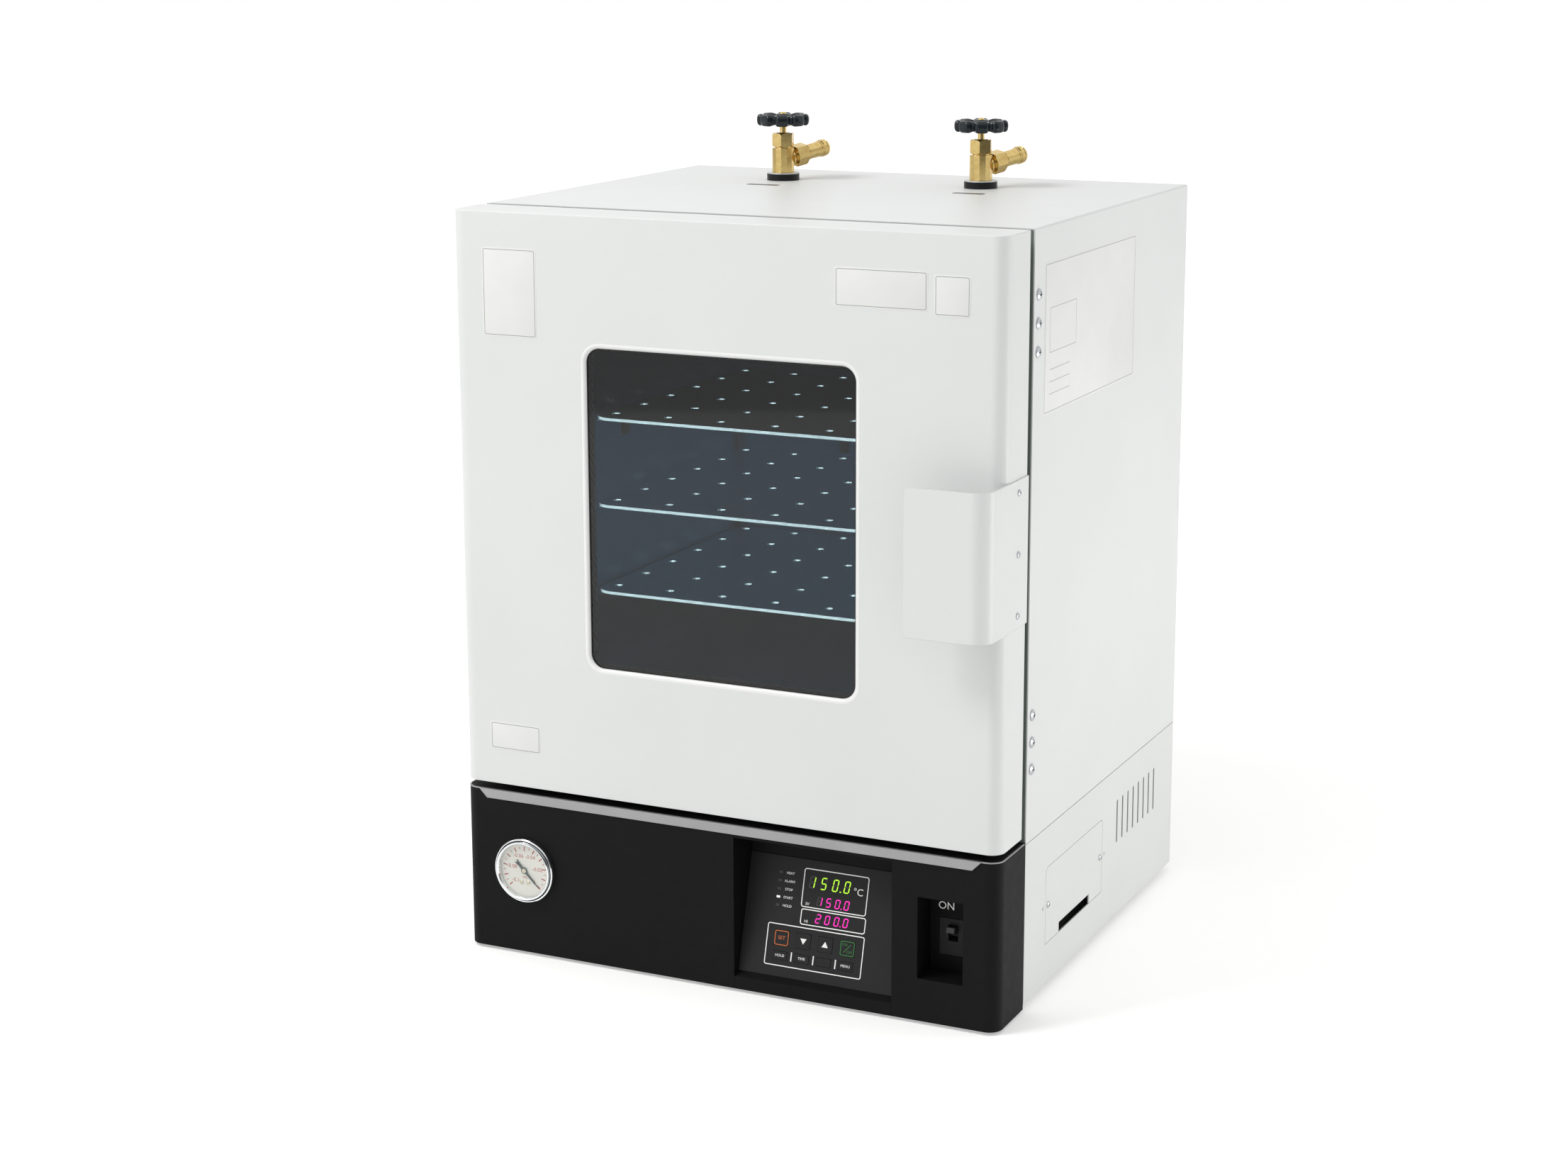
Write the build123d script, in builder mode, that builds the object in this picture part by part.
from build123d import *
import math
import os

# Bench vacuum oven: a front-loading heated chamber in a sheet-steel casing, with a glazed door hinged
# on the left, controls in a black cover under the door, and two valves on the top.
# Millimetres, +Z up, front towards -Y, right-hand side towards +X.
# Origin: bottom centre of the bounding box, at the height of the surface that the feet stand on.

os.makedirs("parts", exist_ok=True)

# ---------------------------------------------------------------- driving dimensions: fits
sheet_fit = 0.2           # between sheets, covers and openings that are assembled once
slide_fit = 0.1           # between pieces that slide or turn past each other
shaft_fit = 0.05          # radial, between a pin or shaft and its bore
soft_fit = 0.3            # beside rubber, silicone and wool

# ---------------------------------------------------------------- driving dimensions: casing
casing_width = 500.0
casing_depth = 395.0
casing_height = 646.0
casing_sheet = 1.2
casing_bend = 2.0         # outer bend radius
rear_return = 14.0        # inward flange that carries the rear panel
front_return = 22.0       # backward flange of the front panel
seam_height = 140.0       # side seam above the casing's lower edge
seam_gap = 0.6
foot_height = 6.0
foot_radius = 14.0
foot_taper = 1.5
foot_spigot = 1.5         # reach above the floor
foot_inset_x = 45.0
foot_inset_y = 45.0

vent_count = 8
vent_pitch = 14.9
vent_length = 40.0
vent_width = 3.2
vent_from_rear = 56.0     # rear casing edge to the last slot
vent_height = 90.0        # slot centre above the casing's lower edge
rear_vent_x = -60.0

access_from_front = 50.0
access_width = 145.0
access_height = 68.0
access_bottom = 36.0      # above the casing's lower edge
access_corner = 5.0
access_gap = 0.4
notch_width = 77.0
notch_height = 9.0
strap_width = 20.0        # backing straps that hold the access cover
strap_share = 0.6         # of the cover's height
cover_screw_inset = 6.3
rivet_outset = 5.8
rivet_radius = 1.6
rivet_rise = 0.6

# ---------------------------------------------------------------- driving dimensions: screws
side_screw_head = 4.8     # radius
side_screw_rise = 2.4
side_screw_shank = 2.5    # radius
side_screw_length = 8.0
side_screw_pitch = 23.0
side_screw_inset = 10.0   # from the casing's front edge
small_screw_head = 2.9
small_screw_rise = 1.6
small_screw_shank = 1.5
small_screw_length = 6.0
screw_play = 0.15         # radial, round a screw's shank
screw_rim = 0.35          # share of the head's rise that is upright
screw_cross_length = 1.1  # shares of the head's radius
screw_cross_width = 0.24
screw_cross_depth = 0.6   # share of the head's rise

# ---------------------------------------------------------------- driving dimensions: door
door_gap = 10.0           # between the door's back edge and the casing
door_thickness = 49.0
door_sheet = 1.5
door_corner = 12.0
door_over_base = 6.0
window_width = 248.0
window_height = 277.0
window_raise = 2.5        # window centre above the door's centre
window_corner = 14.0
window_rim = 6.0          # width of the rim behind the door's face
window_rim_depth = 10.0
window_edge = 2.4         # rounding of the rim's front edge
pane_recess = 3.0
pane_thickness = 5.0
pane_lip = 4.0            # inward lip that the pane rests on
vacuum_glass_size = 376.0
vacuum_glass_thickness = 15.0
vacuum_glass_corner = 12.0
glass_proud = 1.5         # behind the door's back edge
back_frame_sheet = 1.5
back_frame_depth = 16.0
glass_margin = 10.0       # overlap of the back frame's inner flange on the glass

handle_height = 120.6
handle_centre = 391.0     # above the casing's lower edge
handle_sheet = 1.5
handle_standoff = 37.0    # flap's outer face in front of the door
handle_flap = 70.0        # flap's reach to the left of the door's side
handle_bend = 16.0
handle_corner = 3.0
handle_screw_pitch = 50.0
handle_screw_inset = 21.5  # from the door's back edge

hinge_height = 70.0
hinge_sheet = 1.5
hinge_knuckle = 4.0       # radius
hinge_pin = 2.0           # radius
hinge_leaf = 22.0
leaf_screw_inset = 16.0   # from the door's back edge
hinge_upper = 570.0       # hinge centres above the casing's lower edge
hinge_lower = 225.0
hinge_knuckle_gap = 0.4

# ---------------------------------------------------------------- driving dimensions: chamber
chamber_width = 340.0
chamber_height = 340.0
chamber_depth = 320.0
chamber_wall = 4.0
chamber_corner = 15.0
flange_width = 25.0
flange_thickness = 10.0
seal_width = 11.0
seal_inset = 4.0          # chamber opening to the seal
seal_round = 3.0
heater_thickness = 1.5
heater_margin = 35.0

shelf_count = 3
shelf_pitch = 77.0
shelf_sheet = 2.5
shelf_side_gap = 5.0      # shelf edge to the chamber wall
shelf_front_gap = 24.0    # chamber mouth to the shelf's front edge
shelf_rear_gap = 6.0
shelf_corner = 18.0
shelf_hole = 3.5          # radius
shelf_hole_pitch = 51.0
shelf_hole_margin = 10.0  # least distance from a hole's centre to an edge
shelf_first_row = 24.0    # shelf's front edge to its first row of holes
runner_leg = 12.0
runner_sheet = 1.5
stop_peg_radius = 3.0
stop_peg_length = 10.0
stop_peg_left = -133.0
stop_peg_right = 74.0
stop_peg_inset = 4.0
shelf_drop = 14.5         # middle shelf below the window's centre

sensor_radius = 2.5
sensor_reach = 45.0       # into the chamber
sensor_x = 105.0
sensor_above_centre = 130.0
sensor_pocket = 9.0       # radius, in the insulation
sensor_pocket_depth = 60.0
sensor_head = 8.0         # length of the hexagonal head
sensor_flats = 6.0        # half of the width across flats

# ---------------------------------------------------------------- driving dimensions: base cover
cover_wall = 2.5
cover_drop = 3.0          # below the casing's lower edge
cover_rise = 2.0          # above the side seam
cover_proud = 0.7         # in front of the door's face
cover_gap = 0.8           # to the casing's front edge
cover_corner = 12.0
cover_tab = 12.0          # reach of each side tab into the lower casing
cover_tab_height = 30.0
strip_height = 8.0
strip_thickness = 1.5
strip_margin = 15.0       # strip end to the cover's side

recess_left = 12.0        # control recess, from the centre line
recess_width = 144.5
recess_top = 131.0        # above the casing's lower edge
cheek_depth = 42.0
sill_height = 11.0        # top of the sill above the cover's lower edge
panel_base_inset = 7.2    # lower end of the sloping face, behind the cover's front
panel_base_height = 13.8  # above the cover's lower edge
panel_slope = 15.7        # degrees from vertical
panel_length = 102.1
bezel_wall = 3.0
overlay_thickness = 0.5

key_pitch = 20.2
key_first = 37.2          # first key's centre from the recess's left wall
key_width = 13.0
key_tall = 12.6
key_short = 7.0
key_upper = 33.0          # key centres above the sloping face's lower end
key_lower = 18.2
key_gap = 0.25
key_rise = 0.3            # proud of the overlay
key_back = 2.0            # flange behind the bezel's face
key_flange = 0.8
key_travel = 0.4
display_left = 51.0       # display opening, from the recess's left wall
display_width = 61.5
display_bottom = 46.5
display_height = 48.0
board_thickness = 1.6
board_gap = 4.0           # bezel's back to the board
switch_radius = 2.2
lamp_left = 30.2
lamp_top = 87.7
lamp_pitch = 6.9
lamp_count = 5
lamp_width = 3.6
lamp_height = 2.6
lamp_play = 0.2           # round each lamp and behind the film
display_play = 0.4
board_margin_x = 6.0
board_margin_y = 4.0
post_radius = 2.5
post_inset_x = 11.0
post_inset_y = 7.0
key_corner = 0.8
overlay_margin = 0.6

breaker_from_side = 30.7      # recess's right wall to the casing's side
breaker_recess_width = 40.0
breaker_recess_bottom = 33.7  # above the casing's lower edge
breaker_recess_height = 70.4
breaker_recess_depth = 29.0
breaker_nose_width = 24.0
breaker_nose_height = 31.6
breaker_nose_drop = 6.3   # nose centre below the recess's centre
breaker_body_width = 36.0
breaker_body_height = 62.0
breaker_body_depth = 40.0
lever_width = 8.0
lever_height = 5.0
lever_reach = 7.5         # beyond the breaker's nose
lever_drum = 5.0          # radius
lever_pin = 1.2           # radius
lever_pivot_depth = 8.0   # behind the nose's face
lever_raise = 3.5         # pivot above the nose's centre
lever_tilt = 18.0         # degrees upwards, in the lever's upper position
lever_end_round = 0.8
nose_step = 0.3           # nose's face in front of the recess's floor

gauge_from_side = 60.0    # gauge's centre to the casing's side
gauge_height = 73.0       # above the casing's lower edge
gauge_bezel = 29.0        # radius
gauge_bezel_rise = 7.0
gauge_lip = 3.2
gauge_case_radius = 26.0         # radius
gauge_case_depth = 30.0
gauge_wall = 1.2
gauge_glass = 1.5
gauge_dial = 0.6
gauge_dial_depth = 4.5    # dial's face behind the bezel's front
fitting_length = 12.0
fitting_flats = 7.0       # half of the width across flats
movement_radius = 12.0
pointer_length = 18.5
pointer_tail = 8.5
pointer_sheet = 0.5
pointer_hub = 2.2
pointer_arbor = 0.7
pointer_rest = -45.0      # degrees, counter-clockwise from the right as seen from the front
capillary = 1.6           # radius
capillary_inset = 25.0    # from the chamber's left wall
capillary_from_front = 70.0
capillary_bend = 12.0

# ---------------------------------------------------------------- driving dimensions: valves and pipes
valve_left_x = -106.0
valve_right_x = 90.0
valve_from_front = 290.0
valve_collar = 15.0       # radius
valve_collar_height = 6.0
valve_washer = 14.6
valve_washer_height = 1.0
valve_body = 10.0         # half of the width across flats
valve_body_sides = 12
valve_body_height = 22.5
valve_neck = 7.6          # radius
valve_neck_height = 1.2
valve_spigot = 6.0        # radius of the threaded spigot through the casing's top
valve_spigot_length = 12.0
valve_nut = 9.2           # half of the width across flats
valve_nut_height = 13.0
valve_nut_chamfer = 1.3
valve_stem = 3.0          # radius
valve_stem_shown = 5.5
valve_wheel = 24.5        # radius over the lobes
valve_wheel_height = 12.0
valve_lobes = 8
valve_lobe = 5.4          # radius of a lobe
lobe_fill = 2.2           # rim's disc beyond the lobes' centres
rim_width = 2.5           # rim's inner edge inside the lobes' centres
rim_round = 1.6
wheel_hub = 6.5
wheel_web = 4.0
plug_radius = 4.6
plug_height = 3.0
plug_room = 6.0           # radius of the chamber that the plug moves in
valve_seat = 3.0          # radius
seat_height = 8.0         # above the valve body's underside
valve_lift = 3.75         # three turns of a 1.25 mm thread
plug_play = 0.1           # between plug and stem, along the stem
socket_radius = 2.0
socket_depth = 1.8
stem_tip = 1.2
stem_tip_share = 0.55     # of the stem's radius
room_play = 0.6           # above the raised plug
nipple_azimuth = 62.0     # degrees from +X towards +Y
nipple_tilt = 10.0        # degrees above level
nipple_height = 12.0      # axis above the valve body's underside
union_offset = 2.5        # union's start beyond the body's flat
union_flats = 9.2
union_length = 12.0
nipple_radius = 7.4
nipple_bead = 8.0
bead_length = 4.0
bead_inset = 3.0          # from the stub's end
nipple_length = 26.0
nipple_bore = 5.0
pipe_radius = 5.0
pipe_bore = 3.5

# ---------------------------------------------------------------- driving dimensions: rear and base
gland_thread = 8.0        # radius
gland_hex = 10.5          # half of the width across flats
gland_reach = 22.0        # beyond the rear panel
gland_bore = 4.5
gland_x = 150.0
gland_height = 60.0
gland_nut = 4.0           # inner lock nut
gland_collar = 6.0        # outer hexagon
gland_cap_step = 0.6
gland_cap_round = 3.5
gland_inside = 8.0        # thread's reach behind the rear panel
power_board_width = 150.0
power_board_depth = 160.0
power_board_sheet = 2.0
power_board_x = -60.0
standoff_height = 10.0
standoff_radius = 4.0
standoff_inset = 10.0
power_board_back = 40.0   # behind the casing's middle
relay_size = (45.0, 58.0, 28.0)
relay_place = (-45.0, 35.0)
transformer_size = (62.0, 50.0, 45.0)
transformer_place = (30.0, 40.0)
terminal_size = (120.0, 26.0, 18.0)
terminal_place = (0.0, -45.0)

# ---------------------------------------------------------------- derived places
half_width = casing_width / 2
front_reach = door_gap + door_thickness + handle_standoff
rear_reach = casing_depth + gland_reach
casing_front = (front_reach - rear_reach) / 2
casing_rear = casing_front + casing_depth
door_back = casing_front - door_gap
door_front = door_back - door_thickness
flap_front = door_front - handle_standoff

casing_bottom = foot_height
casing_top = casing_bottom + casing_height
seam_z = casing_bottom + seam_height
lower_top = seam_z - seam_gap / 2
upper_bottom = seam_z + seam_gap / 2
cover_bottom = casing_bottom - cover_drop
cover_top = seam_z + cover_rise
cover_front = door_front - cover_proud
cover_back = casing_front - cover_gap
door_bottom = cover_top + door_over_base
door_top = casing_top
door_height = door_top - door_bottom
window_z = (door_top + door_bottom) / 2 + window_raise
inner_half = half_width - casing_sheet
rear_face = casing_rear - casing_sheet
hinge_z = [casing_bottom + hinge_lower, casing_bottom + hinge_upper]
screw_y = casing_front + side_screw_inset
gauge_x = gauge_from_side - half_width
breaker_recess_left = half_width - breaker_from_side - breaker_recess_width
valve_y = casing_front + valve_from_front
valve_x = {"1": valve_left_x, "2": valve_right_x}

LOW = (Align.CENTER, Align.CENTER, Align.MIN)


def facing(y):
    """Upright plane at depth y that faces the front; its own Y is world Z."""
    return Plane.XZ.offset(-y)


def side(x):
    """Upright plane at x that faces right; its own X is world Y and its own Y is world Z."""
    return Plane.YZ.offset(x)


def level(z):
    """Flat plane at height z."""
    return Plane.XY.offset(z)


def screw_shape(head, rise, shank, length):
    """Domed cross-head screw that points down -Z, with the underside of its head at Z 0."""
    rim = rise * screw_rim
    dome = (head**2 + (rise - rim) ** 2) / (2 * (rise - rim))
    half_angle = math.asin(head / dome) / 2
    on_dome = (dome * math.sin(half_angle), rise - dome + dome * math.cos(half_angle))
    with BuildPart() as screw:
        with BuildSketch(Plane.XZ):
            with BuildLine():
                Polyline((0, -length), (shank, -length), (shank, 0), (head, 0), (head, rim))
                ThreePointArc((head, rim), on_dome, (0, rise))
                Line((0, rise), (0, -length))
            make_face()
        revolve(axis=Axis.Z)
        with BuildSketch(level(rise)):
            Rectangle(head * screw_cross_length, head * screw_cross_width)
            Rectangle(head * screw_cross_width, head * screw_cross_length)
        extrude(amount=-rise * screw_cross_depth, mode=Mode.SUBTRACT)
    return screw.part


side_screw = screw_shape(side_screw_head, side_screw_rise, side_screw_shank, side_screw_length)
small_screw = screw_shape(small_screw_head, small_screw_rise, small_screw_shank, small_screw_length)
right_screw_points = [
    (screw_y, z + step * side_screw_pitch) for z in hinge_z for step in (-1, 0, 1)
]

# ================================================================ casing
# The upper casing is one bent sheet, open at the front, the rear and below.
rear_carrier = rear_face - sheet_fit
with BuildPart() as upper_casing:
    with BuildSketch(facing(casing_front)) as upper_section:
        with Locations((0, (upper_bottom + casing_top) / 2)):
            Rectangle(casing_width, casing_top - upper_bottom)
        fillet(upper_section.vertices().group_by(Axis.Y)[-1], casing_bend)
        with Locations((0, (upper_bottom + casing_top - casing_sheet) / 2)):
            Rectangle(2 * inner_half, casing_top - upper_bottom - casing_sheet, mode=Mode.SUBTRACT)
    extrude(amount=-casing_depth)
    with BuildSketch(facing(rear_carrier)):
        with Locations((0, (upper_bottom + casing_top - casing_sheet) / 2)):
            Rectangle(2 * inner_half, casing_top - casing_sheet - upper_bottom)
        with Locations((0, (upper_bottom + casing_top - casing_sheet - rear_return) / 2)):
            Rectangle(
                2 * (inner_half - rear_return),
                casing_top - casing_sheet - rear_return - upper_bottom,
                mode=Mode.SUBTRACT,
            )
    extrude(amount=casing_sheet)
    with BuildSketch(side(-half_width - 1)):
        with Locations(*right_screw_points):
            Circle(side_screw_shank + screw_play)
    extrude(amount=casing_width + 2, mode=Mode.SUBTRACT)
    with BuildSketch(level(casing_top - casing_sheet - 1)):
        with Locations(*[(x, valve_y) for x in valve_x.values()]):
            Circle(valve_spigot + screw_play)
    extrude(amount=casing_sheet + 2, mode=Mode.SUBTRACT)
upper_casing.part.label = "upper_casing"

# The lower casing is a tray: both lower sides and the floor in one sheet.
vent_last_y = casing_rear - vent_from_rear
vent_centre_y = vent_last_y - vent_pitch * (vent_count - 1) / 2
access_y = casing_front + access_from_front + access_width / 2
access_z = casing_bottom + access_bottom + access_height / 2
strap_y = [access_y - access_width / 2, access_y + access_width / 2]
floor_top = casing_bottom + casing_sheet
tongue_front = cover_front + bezel_wall + sheet_fit
tongue_half = half_width - cover_corner - sheet_fit
with BuildPart() as lower_casing:
    with BuildSketch(facing(casing_front)) as lower_section:
        with Locations((0, (casing_bottom + lower_top) / 2)):
            Rectangle(casing_width, lower_top - casing_bottom)
        fillet(lower_section.vertices().group_by(Axis.Y)[0], casing_bend)
        with Locations((0, (floor_top + lower_top) / 2)):
            Rectangle(2 * inner_half, lower_top - floor_top, mode=Mode.SUBTRACT)
    extrude(amount=-casing_depth)
    with BuildSketch(facing(rear_carrier)):
        with Locations((0, (floor_top + lower_top) / 2)):
            Rectangle(2 * inner_half, lower_top - floor_top)
        with Locations((0, (floor_top + rear_return + lower_top) / 2)):
            Rectangle(
                2 * (inner_half - rear_return), lower_top - floor_top - rear_return, mode=Mode.SUBTRACT
            )
    extrude(amount=casing_sheet)
    with BuildSketch(side(-half_width - 1)):
        with Locations((vent_centre_y, casing_bottom + vent_height)):
            with GridLocations(vent_pitch, 1, vent_count, 1):
                SlotOverall(vent_length, vent_width, rotation=90)
    extrude(amount=casing_width + 2, mode=Mode.SUBTRACT)
    with BuildSketch(side(inner_half - 1)) as access_cut:
        with Locations((access_y, access_z)):
            Rectangle(access_width, access_height)
        fillet(access_cut.vertices().group_by(Axis.Y)[-1], access_corner)
    extrude(amount=casing_sheet + 2, mode=Mode.SUBTRACT)
    with Locations(*[(inner_half - casing_sheet / 2, y, access_z) for y in strap_y]):
        Box(casing_sheet, strap_width, access_height * strap_share)
    with BuildSketch(side(half_width)):
        with Locations((strap_y[0] - rivet_outset, access_z), (strap_y[1] + rivet_outset, access_z)):
            Circle(rivet_radius)
    extrude(amount=rivet_rise)
    with BuildSketch(side(inner_half - 3)):
        with Locations(
            (strap_y[0] + cover_screw_inset, access_z), (strap_y[1] - cover_screw_inset, access_z)
        ):
            Circle(small_screw_shank + screw_play)
    extrude(amount=4, mode=Mode.SUBTRACT)
    # The floor runs on under the base cover.
    with Locations((0, (tongue_front + casing_front) / 2, casing_bottom)):
        Box(2 * tongue_half, casing_front - tongue_front, casing_sheet, align=LOW)
    foot_points = [
        (sx * (half_width - foot_inset_x), y)
        for sx in (-1, 1)
        for y in (casing_front + foot_inset_y, casing_rear - foot_inset_y)
    ]
    with BuildSketch(level(casing_bottom - 1)):
        with Locations(*foot_points):
            Circle(small_screw_shank + screw_play)
    extrude(amount=casing_sheet + 2, mode=Mode.SUBTRACT)
lower_casing.part.label = "lower_casing"

# Rear panel: a plate inside the casing's rear edge, with vent slots low down and the gland's hole.
rear_panel_bottom = floor_top + sheet_fit
rear_panel_top = casing_top - casing_sheet - sheet_fit
rear_panel_half = inner_half - sheet_fit
rear_screw_x = rear_panel_half - rear_return / 2
rear_screw_z = [
    rear_panel_bottom + rear_return / 2,
    rear_panel_bottom + (rear_panel_top - rear_panel_bottom) / 3,
    rear_panel_bottom + (rear_panel_top - rear_panel_bottom) * 2 / 3,
    rear_panel_top - rear_return / 2,
]
rear_screw_points = [(sx * rear_screw_x, z) for sx in (-1, 1) for z in rear_screw_z]
gland_z = casing_bottom + gland_height
with BuildPart() as rear_panel:
    with BuildSketch(facing(casing_rear)):
        with Locations((0, (rear_panel_bottom + rear_panel_top) / 2)):
            Rectangle(2 * rear_panel_half, rear_panel_top - rear_panel_bottom)
        with Locations((rear_vent_x, casing_bottom + vent_height)):
            with GridLocations(vent_pitch, 1, 2 * vent_count, 1):
                SlotOverall(vent_length, vent_width, rotation=90, mode=Mode.SUBTRACT)
        with Locations((gland_x, gland_z)):
            Circle(gland_thread + screw_play, mode=Mode.SUBTRACT)
        with Locations(*rear_screw_points):
            Circle(small_screw_shank + screw_play, mode=Mode.SUBTRACT)
    extrude(amount=casing_sheet)
rear_panel.part.label = "rear_panel"
export_step(rear_panel.part, "parts/rear_panel.step")

# The screws of the rear panel pass through the casing's rear returns as well.
for casing in (upper_casing, lower_casing):
    with casing:
        with BuildSketch(facing(rear_face)):
            with Locations(*rear_screw_points):
                Circle(small_screw_shank + screw_play)
        extrude(amount=3 * casing_sheet, mode=Mode.SUBTRACT)
export_step(upper_casing.part, "parts/upper_casing.step")
export_step(lower_casing.part, "parts/lower_casing.step")

# Front panel: ring round the chamber's flange, bent back along both sides and, as the deck that
# carries the insulation, along its lower edge.
flange_outer_w = chamber_width + 2 * (chamber_wall + flange_width)
flange_outer_h = chamber_height + 2 * (chamber_wall + flange_width)
deck_bottom = upper_bottom + sheet_fit
deck_top = deck_bottom + casing_sheet
panel_half = inner_half - sheet_fit
panel_top = casing_top - casing_sheet - sheet_fit
capillary_x = capillary_inset - chamber_width / 2
capillary_y = casing_front + capillary_from_front
deck_rear = rear_carrier - casing_sheet - sheet_fit
with BuildPart() as front_panel:
    with BuildSketch(facing(casing_front)):
        with Locations((0, (deck_bottom + panel_top) / 2)):
            Rectangle(2 * panel_half, panel_top - deck_bottom)
        with Locations((0, window_z)):
            RectangleRounded(
                flange_outer_w + 2 * sheet_fit,
                flange_outer_h + 2 * sheet_fit,
                chamber_corner + sheet_fit,
                mode=Mode.SUBTRACT,
            )
    extrude(amount=-casing_sheet)
    for sx in (-1, 1):
        with BuildSketch(level(deck_bottom)):
            with Locations((sx * (panel_half - casing_sheet / 2), casing_front + front_return / 2)):
                Rectangle(casing_sheet, front_return)
        extrude(amount=panel_top - deck_bottom)
    with BuildSketch(level(deck_bottom)):
        with Locations((0, (casing_front + deck_rear) / 2)):
            Rectangle(2 * panel_half, deck_rear - casing_front)
        with Locations((capillary_x, capillary_y)):
            Circle(capillary + soft_fit, mode=Mode.SUBTRACT)
    extrude(amount=casing_sheet)
    with BuildSketch(side(-half_width)):
        with Locations(*right_screw_points):
            Circle(side_screw_shank + screw_play)
    extrude(amount=casing_width, mode=Mode.SUBTRACT)
front_panel.part.label = "front_panel"
export_step(front_panel.part, "parts/front_panel.step")

# Feet: low rubber discs, each with a spigot through the floor.
with BuildPart() as feet:
    with Locations(*[(x, y, 0) for x, y in foot_points]):
        Cone(foot_radius - foot_taper, foot_radius, foot_height, align=LOW)
        Cylinder(small_screw_shank, foot_height + casing_sheet + foot_spigot, align=LOW)
feet.part.label = "feet"
export_step(feet.part, "parts/feet.step")

# Access cover: flush plate, notched at its lower edge for a cable.
with BuildPart() as access_cover:
    with BuildSketch(side(inner_half)) as access_face:
        with Locations((access_y, access_z)):
            Rectangle(access_width - 2 * access_gap, access_height - 2 * access_gap)
        fillet(access_face.vertices().group_by(Axis.Y)[-1], access_corner - access_gap)
        with Locations((access_y, access_z - access_height / 2 + notch_height / 2)):
            Rectangle(notch_width, notch_height, mode=Mode.SUBTRACT)
        with Locations(
            (strap_y[0] + cover_screw_inset, access_z), (strap_y[1] - cover_screw_inset, access_z)
        ):
            Circle(small_screw_shank + screw_play, mode=Mode.SUBTRACT)
    extrude(amount=casing_sheet)
access_cover.part.label = "access_cover"
export_step(access_cover.part, "parts/access_cover.step")

# Side screws: a row of three at each hinge height, on both sides. Those on the left hold the hinges.
with BuildPart() as side_screws:
    for y, z in right_screw_points:
        with Locations(Plane((half_width, y, z), z_dir=(1, 0, 0))):
            add(side_screw)
        with Locations(Plane((-half_width - hinge_sheet, y, z), z_dir=(-1, 0, 0))):
            add(side_screw)
side_screws.part.label = "side_screws"
export_step(side_screws.part, "parts/side_screws.step")

# Panel screws: two in the access cover, eight in the rear panel.
with BuildPart() as panel_screws:
    for y in (strap_y[0] + cover_screw_inset, strap_y[1] - cover_screw_inset):
        with Locations(Plane((half_width, y, access_z), z_dir=(1, 0, 0))):
            add(small_screw)
    for x, z in rear_screw_points:
        with Locations(Plane((x, casing_rear, z), z_dir=(0, 1, 0))):
            add(small_screw)
panel_screws.part.label = "panel_screws"
export_step(panel_screws.part, "parts/panel_screws.step")

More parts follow.
